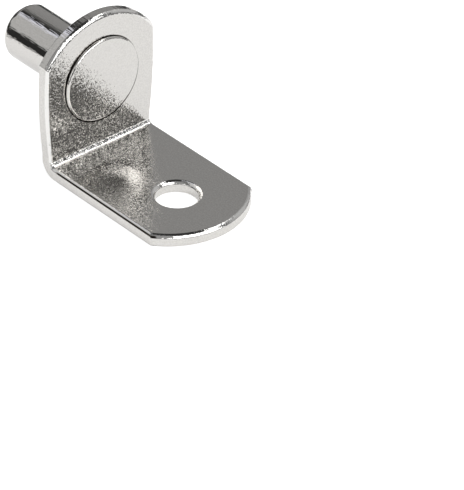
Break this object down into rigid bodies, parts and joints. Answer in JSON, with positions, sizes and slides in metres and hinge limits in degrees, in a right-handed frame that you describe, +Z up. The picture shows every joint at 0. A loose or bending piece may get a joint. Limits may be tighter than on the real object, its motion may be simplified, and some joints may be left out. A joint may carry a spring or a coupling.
{
  "type": "shelf support pin",
  "caption": "Nickel-plated steel shelf support pin: folded bracket with a screw hole in its leg and a headed pin riveted through its upright.",
  "frame": {"origin": "where the pin's axis meets the flange face that seats on the cabinet's side", "axes": "+X forward along the leg, away from the cabinet's side; +Y across the width; +Z up; the pin points along -X"},
  "size_m": [0.0254, 0.0116, 0.0136],
  "materials": {
    "plated_sheet": "bright nickel plate over stamped sheet, fine grain",
    "plated_pin": "bright nickel plate over turned steel, polished"
  },
  "bodies": {
    "root": {"bracket": "plated_sheet", "pin": "plated_pin"}
  },
  "joints": []
}
